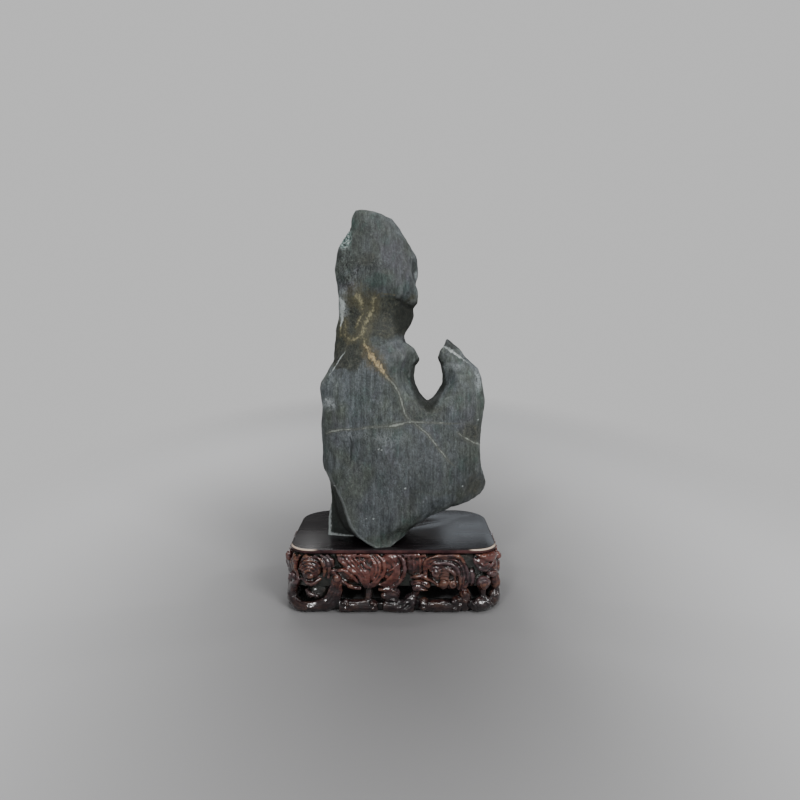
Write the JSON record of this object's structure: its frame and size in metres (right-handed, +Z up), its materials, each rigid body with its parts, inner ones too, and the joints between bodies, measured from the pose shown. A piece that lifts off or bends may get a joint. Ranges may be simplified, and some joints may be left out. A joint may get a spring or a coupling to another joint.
{
  "type": "scholars rock on a carved stand",
  "caption": "Upright scholar's rock, a notched slab of veined grey-green stone, resting in the seat of a carved and pierced hardwood stand.",
  "frame": {"origin": "on the table, under the middle of the stand", "axes": "+Z up, the stand's front and the stone's main face look along -Y, the stone's notch is on the +X side"},
  "size_m": [0.1958, 0.1334, 0.3522],
  "materials": {
    "veined_stone": "satin, waxed",
    "dark_lacquer": "gloss",
    "carved_hardwood": "gloss"
  },
  "bodies": {
    "root": {"rock": "veined_stone", "stand_top_board": "dark_lacquer", "stand_carved_base": "carved_hardwood"}
  },
  "joints": []
}
